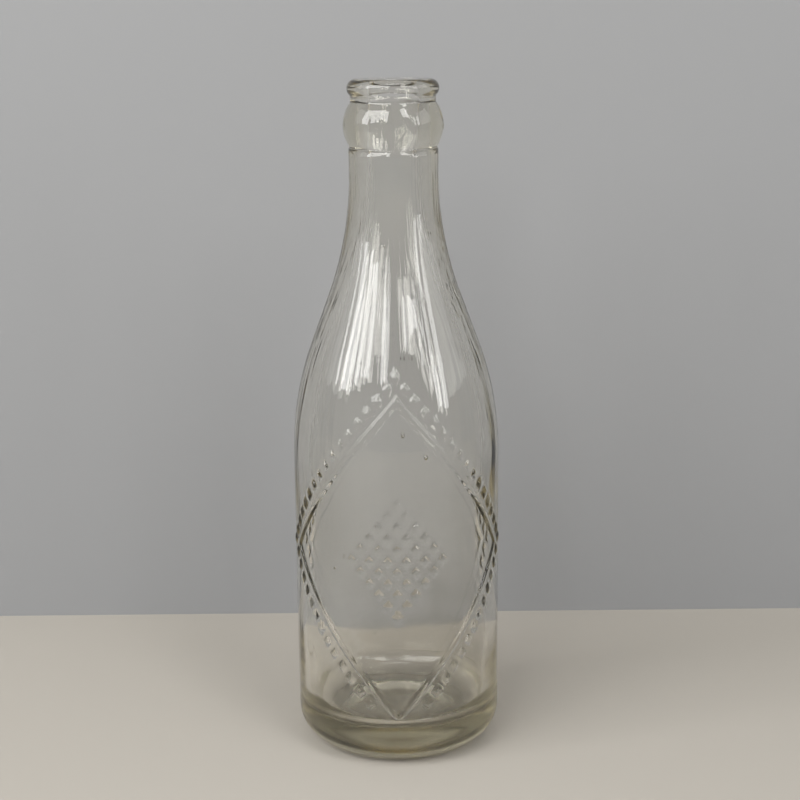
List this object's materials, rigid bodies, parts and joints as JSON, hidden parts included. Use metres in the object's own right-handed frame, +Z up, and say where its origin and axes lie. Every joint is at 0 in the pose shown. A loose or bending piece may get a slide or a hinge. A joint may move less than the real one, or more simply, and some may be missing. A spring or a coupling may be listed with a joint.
{
  "type": "crown-top glass soda bottle",
  "caption": "Slender clear glass bottle with a crown cap finish, long swept neck, thick rounded base and a raised lozenge frame with pips on the front.",
  "frame": {"origin": "on the bottle's axis, at the plane that the resting ring stands on", "axes": "+Z up along the axis towards the mouth, front with the lozenge relief faces -Y, +X to the right as seen from the front"},
  "size_m": [0.061, 0.0614, 0.1982],
  "materials": {
    "clear_glass": "fire-polished, faint warm grey-green, with draw streaks and small seeds",
    "base_glass": "the same glass where it is thick, so its olive tint shows"
  },
  "bodies": {
    "root": {"base_cup": "base_glass", "body": "clear_glass", "crown_finish": "clear_glass", "lozenge_frame": "clear_glass", "pip_row": "clear_glass", "pip_panel": "clear_glass"}
  },
  "joints": []
}
